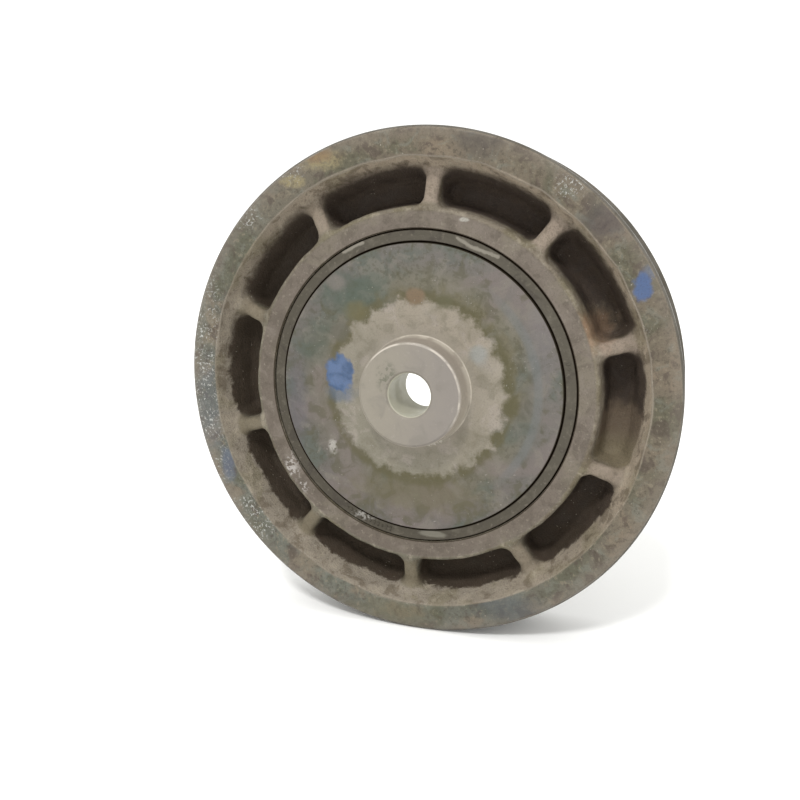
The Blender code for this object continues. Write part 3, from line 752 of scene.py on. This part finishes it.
def ring_finish():
    finish = Finish("turned_and_cast_iron")
    cloud = finish.noise(16, 3, 0.55, shift=3, warp=0.6)
    patch = finish.noise(5.5, 4, 0.58, shift=14, warp=0.6)
    fleck = finish.noise(1.4, 4, 0.65, shift=23)
    grain = finish.noise(0.5, 3, 0.65, shift=5)
    flange = finish.drift((115, 115, 105), (125, 115, 100))
    flange = finish.stained(
        flange,
        (finish.step(cloud, 0.50, 0.62, 0, 0.65), lit(98, 98, 80)),
        (finish.step(cloud, 0.48, 0.36, 0, 0.60), lit(146, 131, 113)),
        (finish.step(patch, 0.52, 0.64, 0, 0.65), lit(94, 83, 76)),
        (finish.step(patch, 0.47, 0.36, 0, 0.50), lit(134, 135, 124)),
        (finish.step(fleck, 0.55, 0.66, 0, 0.55), lit(150, 141, 122)),
        (finish.step(fleck, 0.45, 0.36, 0, 0.50), lit(84, 78, 66)))
    flange = finish.mix(finish.step(finish.radius, 77, 81, 0, 0.3), flange, lit(148, 139, 128))
    ochre = finish.math("MAXIMUM", finish.spot(-42, 66, 8, 4, 0.4),
                        finish.spot(-32, 72.5, 13, 5.5, 0.6, 0.6))
    flange = finish.stained(
        flange,
        (finish.math("MULTIPLY", ochre, finish.step(fleck, 0.42, 0.56, 0.35, 0.85)),
         lit(162, 150, 116)),
        (finish.math("MULTIPLY", finish.spot(-33, 74, 9, 4, 0.5, 0.6), 0.55), lit(142, 112, 86)),
        (finish.math("MULTIPLY", finish.spot(69, 35.5, 5.4, 8, 0.3, 0.6), 0.9), lit(92, 114, 156)),
        (finish.math("MULTIPLY", finish.spot(72, 40, 6, 4, 0.5), 0.6), lit(116, 126, 148)),
        (finish.math("MULTIPLY", finish.spot(-69.5, -30, 5, 13, 0.5, 0.6), 0.55),
         lit(108, 120, 142)),
        (finish.math("MULTIPLY", finish.spot(-76, -10, 9, 30, 0.6, 0.7), 0.45),
         lit(116, 120, 126)),
        (finish.math("MULTIPLY", finish.spot(32, -70, 22, 9, 0.6, 0.6), 0.55), lit(96, 102, 106)),
        (finish.math("MULTIPLY", finish.spot(-6, -77, 24, 8, 0.6, 0.6), 0.5), lit(122, 117, 94)),
        (finish.math("MULTIPLY", finish.spot(57, 54, 13, 10, 0.5), 0.6), lit(92, 85, 86)),
        (finish.math("MULTIPLY", finish.spot(20, 77, 15, 9, 0.6, 0.7), 0.55), lit(98, 93, 88)))
    face = finish.drift((120, 110, 100), (130, 120, 110))
    face = finish.stained(
        face,
        (finish.step(cloud, 0.50, 0.64, 0, 0.5), lit(138, 130, 114)),
        (finish.step(patch, 0.50, 0.64, 0, 0.5), lit(104, 96, 86)),
        (finish.step(patch, 0.46, 0.32, 0, 0.5), lit(144, 134, 124)),
        (finish.step(fleck, 0.58, 0.68, 0, 0.5), lit(156, 147, 133)),
        # Painted shade: the ring face's inner edge along the gap to the rubber is painted dark.
        (finish.math("MULTIPLY", finish.step(finish.radius, RING_INSIDE + 0.4, RING_INSIDE + 0.15),
                     0.8),
         lit(66, 61, 53)))
    glint = finish.math("MAXIMUM", finish.spot(-46, -30.5, 5.5, 9, 0.5, 0.8),
                        finish.spot(-41.5, -36.5, 4, 4, 0.5, 0.8))
    glint = finish.math("MULTIPLY", glint, finish.step(fleck, 0.48, 0.54))
    flake = finish.math("MULTIPLY", finish.spot(14.8, 54.2, 3.2, 1.5, 0.3, 0.7), 0.9)
    face = finish.stained(face, (finish.math("MULTIPLY", glint, 0.9), lit(194, 188, 182)),
                          (flake, lit(188, 184, 174)))
    cast = finish.drift((130, 125, 110), (145, 135, 120))
    sand = finish.math("ADD", finish.radius, finish.math("MULTIPLY", finish.depth,
                                                         math.tan(RIM_SLOPE)))
    on_slope = finish.step(sand, LIP - 2.6, LIP - 1.2)
    slope = finish.drift((165, 155, 140), (185, 170, 150))
    cast = finish.mix(on_slope, cast, slope)
    cast = finish.stained(
        cast,
        (finish.step(cloud, 0.50, 0.62, 0, 0.45), lit(136, 128, 100)),
        (finish.step(cloud, 0.46, 0.34, 0, 0.40), lit(172, 160, 142)),
        (finish.step(patch, 0.52, 0.64, 0, 0.60), lit(116, 104, 88)),
        (finish.step(patch, 0.46, 0.34, 0, 0.55), lit(184, 173, 154)),
        (finish.step(fleck, 0.56, 0.68, 0, 0.45), lit(100, 90, 77)),
        (finish.step(fleck, 0.43, 0.34, 0, 0.45), lit(182, 174, 158)))
    fall = finish.math("MULTIPLY", finish.math("SUBTRACT", finish.radius, 58), RIB_FALL)
    back = finish.all_of(finish.step(finish.math("SUBTRACT", finish.depth, fall), 2.6, 1.0),
                         finish.step(sand, LIP - 1.2, LIP - 2.6))
    ribs = finish.all_of(back, finish.step(finish.radius, 58.5, 60.5),
                         finish.step(fleck, 0.66, 0.42, 0.5, 0.95))
    cast = finish.mix(ribs, cast, finish.drift((145, 135, 115), (175, 160, 145)))
    # Rust on the ring's shoulder by the right-hand pocket, with a painted pool of light where that
    # pocket's corner fills up; the patch also lifts the painted pocket shade there.
    rust_and_lit_corner = finish.spot(54.8, 21.5, 11, 10, 0.7, 0.9)
    cast = finish.mix(finish.math("MULTIPLY", rust_and_lit_corner, 0.6), cast, lit(168, 134, 108))
    # Painted shadow in the pockets: on the slopes it begins below a line that lies deeper at the
    # bottom than at the top, as if cast by a lamp above; elsewhere it deepens with depth.
    begins = finish.step(finish.z, -30, 30, 5.5, 1.5)
    below = finish.math("SUBTRACT", finish.depth, begins)
    below = finish.math("ADD", below, finish.math("MULTIPLY", finish.math("SUBTRACT", patch, 0.5),
                                                  5))
    below = finish.math("ADD", below, finish.math("MULTIPLY", finish.math("SUBTRACT", fleck, 0.5),
                                                  2))
    shaded = finish.step(below, 0.0, finish.step(finish.z, -10, 35, 1.4, 5.5))
    shaded = finish.math("ADD", finish.math("MULTIPLY", shaded, on_slope),
                         finish.math("MULTIPLY", finish.step(finish.depth, 3.0, 8.0),
                                     finish.math("SUBTRACT", 1.0, on_slope)))
    shaded = finish.math("MULTIPLY", shaded, finish.math("SUBTRACT", 1.0,
                                                         finish.math("MULTIPLY", rust_and_lit_corner, 0.6)))
    pocket_shade = finish.drift((65, 55, 45), (70, 60, 55))
    pocket_shade = finish.mix(finish.step(patch, 0.40, 0.62, 0.0, 0.4), pocket_shade, lit(92, 80, 70))
    # Painted light: the floor of the right-hand pocket, below the rib's shadow, is painted as lit.
    pocket_shade = finish.mix(finish.spot(63, -13, 30, 20, 0.25, 0.3), pocket_shade,
                      finish.mix(finish.step(finish.z, -9, -18), lit(128, 113, 97),
                                 lit(152, 140, 116)))
    cast = finish.mix(finish.math("MULTIPLY", shaded, 0.92), cast, pocket_shade)
    on_flange = finish.math("MULTIPLY", finish.step(finish.radius, 73.0, 73.7),
                            finish.step(finish.depth, -0.9, -1.35))
    on_face = finish.math("MULTIPLY", finish.step(finish.radius, 57.4, 56.4),
                          finish.step(finish.depth, 0.9, 0.5))
    colour = finish.mix(on_flange, finish.mix(on_face, cast, face), flange)
    # Painted highlight: a pale line along the flange's lip, strongest on the upper right and on
    # the left.
    lip = finish.step(finish.math("ABSOLUTE", finish.math("SUBTRACT", finish.depth, -0.9)), 0.6,
                      0.1)
    lip_highlight_reach = finish.step(finish.math("ADD", finish.z, finish.math("MULTIPLY", finish.x, 0.6)), 10,
                       40, 0.25, 0.85)
    lip_highlight_reach = finish.math("MAXIMUM", lip_highlight_reach, finish.spot(-70, 20, 9, 24, 0.4, 0.5))
    lip = finish.all_of(lip, finish.step(finish.radius, 75.0, 74.2),
                        finish.step(patch, 0.34, 0.48, 0.4, 1.0), lip_highlight_reach)
    colour = finish.mix(lip, colour, lit(172, 162, 147))
    outside = finish.math("MULTIPLY", finish.step(finish.radius, 76.5, 77.2),
                          finish.step(finish.depth, -1.3, -0.7))
    track = finish.stained(
        finish.mix(finish.step(cloud, 0.30, 0.70), lit(104, 100, 91), lit(130, 125, 116)),
        (finish.step(finish.radius, 79.0, 77.8, 0, 0.7), lit(66, 62, 56)),
        (finish.step(patch, 0.48, 0.74, 0, 0.5), lit(94, 85, 73)),
        (finish.step(fleck, 0.55, 0.70, 0, 0.4), lit(120, 100, 80)))
    colour = finish.mix(outside, colour, track)
    front = finish.stained(
        finish.mix(finish.step(cloud, 0.30, 0.70), lit(104, 98, 86), lit(128, 120, 105)),
        (finish.step(patch, 0.48, 0.74, 0, 0.5), lit(90, 82, 70)),
        (finish.step(fleck, 0.55, 0.70, 0, 0.4), lit(122, 101, 80)))
    colour = finish.mix(finish.step(finish.depth, 15.5, 17.0), colour,
                        finish.mix(outside, front, track))
    speckled = finish.math("MAXIMUM", finish.step(finish.x, -66, -78),
                           finish.spot(-60, -49, 18, 16, 0.6, 0.5))
    for x, z in ((47.5, 64), (-59, 55), (-43, 69), (66, 24)):
        speckled = finish.math("MAXIMUM", speckled, finish.spot(x, z, 9, 7, 0.6, 0.5))
    specks = finish.all_of(finish.step(finish.noise(0.95, 3, 0.7, shift=31), 0.55, 0.60),
                           finish.step(finish.noise(5, 2, shift=33), 0.38, 0.52, 0.15, 1.0),
                           speckled)
    strays = finish.all_of(finish.step(finish.noise(0.9, 2, 0.6, shift=41), 0.68, 0.73),
                           finish.step(finish.noise(9, 2, shift=43), 0.48, 0.58))
    colour = finish.stained(
        colour,
        (finish.math("MULTIPLY", specks, finish.math("MULTIPLY", on_flange, 0.9)),
         lit(204, 204, 198)),
        (finish.math("MULTIPLY", strays, 0.75), lit(180, 172, 158)),
        (finish.step(grain, 0.46, 0.70, 0.0, 0.26), lit(78, 71, 62)))
    turned_here = finish.math("MAXIMUM", finish.math("MAXIMUM", on_flange, on_face), outside)
    cast_here = finish.math("SUBTRACT", 1.0, turned_here)
    relief = finish.bump(finish.math("MULTIPLY", finish.turning_marks(), turned_here), 0.004)
    relief = finish.bump(finish.math("MULTIPLY", finish.math("ADD", grain, fleck), cast_here),
                         0.28, relief)
    relief = finish.bump(grain, 0.05, relief)
    relief = finish.bump(patch, 0.30, relief)
    gap_edge = finish.all_of(finish.step(finish.radius, RING_INSIDE + 0.5, RING_INSIDE + 0.2),
                             finish.step(finish.depth, 19.0, 18.6))
    rough = finish.math("ADD", finish.step(turned_here, 0.0, 1.0, 0.66, 0.46),
                        finish.step(patch, 0.35, 0.62, -0.06, 0.14))
    rough = finish.math("MAXIMUM", rough, gap_edge)
    return finish.done(colour, rough, relief, 0.08, finish.step(gap_edge, 0, 1, 0.3, 0.02))


ring_shape = bmesh.new()
cast_bay(ring_shape)
turned(ring_shape, ring_outline(), closed=False)
ten_times(ring_shape)
bmesh.ops.remove_doubles(ring_shape, verts=ring_shape.verts, dist=0.002 * MM)
roughen(ring_shape)
piece("ring_casting", ring_shape, ring_finish(), "ring", "pulley_ring")

# STUDIO. A wide matt white floor under the rim, pale surroundings and one soft lamp high in
# front. The camera stands a little to the right and looks slightly down on the seat face.
FLOOR = cad_box[0][2]


def studio_floor():
    sheet = bmesh.new()
    bmesh.ops.create_grid(sheet, x_segments=8, y_segments=8, size=6.0)
    bmesh.ops.translate(sheet, verts=sheet.verts, vec=(0, 0, FLOOR))
    mesh = bpy.data.meshes.new("studio_floor")
    sheet.to_mesh(mesh)
    sheet.free()
    made = bpy.data.objects.new("studio_floor", mesh)
    bpy.context.scene.collection.objects.link(made)
    paint = bpy.data.materials.new("white_floor")
    paint.use_nodes = True
    shader = paint.node_tree.nodes["Principled BSDF"]
    shader.inputs["Base Color"].default_value = (0.94, 0.94, 0.93, 1)
    shader.inputs["Roughness"].default_value = 0.9
    mesh.materials.append(paint)


def surroundings():
    world = bpy.data.worlds.new("white_room")
    world.use_nodes = True
    background = world.node_tree.nodes["Background"]
    background.inputs["Color"].default_value = (1, 1, 0.985, 1)
    background.inputs["Strength"].default_value = 1.18
    bpy.context.scene.world = world


def key_lamp():
    light = bpy.data.lights.new("key_lamp", "SUN")
    light.energy = 1.7
    light.angle = math.radians(9)
    made = bpy.data.objects.new("key_lamp", light)
    bpy.context.scene.collection.objects.link(made)
    made.location = (-0.03, -0.64, 0.77)
    made.rotation_euler = (-made.location).to_track_quat("-Z", "Y").to_euler()


def camera():
    azimuth, elevation = math.radians(19.03), math.radians(11.84)
    back = Vector((math.sin(azimuth) * math.cos(elevation),
                   -math.cos(azimuth) * math.cos(elevation), math.sin(elevation)))
    right = Vector((0, 0, 1)).cross(back).normalized()
    up = back.cross(right)
    view = bpy.data.cameras.new("camera")
    view.sensor_width = 36.0
    view.lens = 40.5
    view.clip_start = 0.01
    made = bpy.data.objects.new("camera", view)
    bpy.context.scene.collection.objects.link(made)
    seat = Vector((0, SEAT_DEPTH * MM, 0))
    frame_to_world = Matrix((right, up, back)).transposed().to_4x4()
    away, leftwards, downwards = 0.291, 0.00563, 0.00312
    frame_to_world.translation = seat + back * away - right * leftwards - up * downwards
    made.matrix_world = frame_to_world
    bpy.context.scene.camera = made


studio_floor()
surroundings()
key_lamp()
camera()
bpy.context.scene.view_settings.view_transform = "Standard"
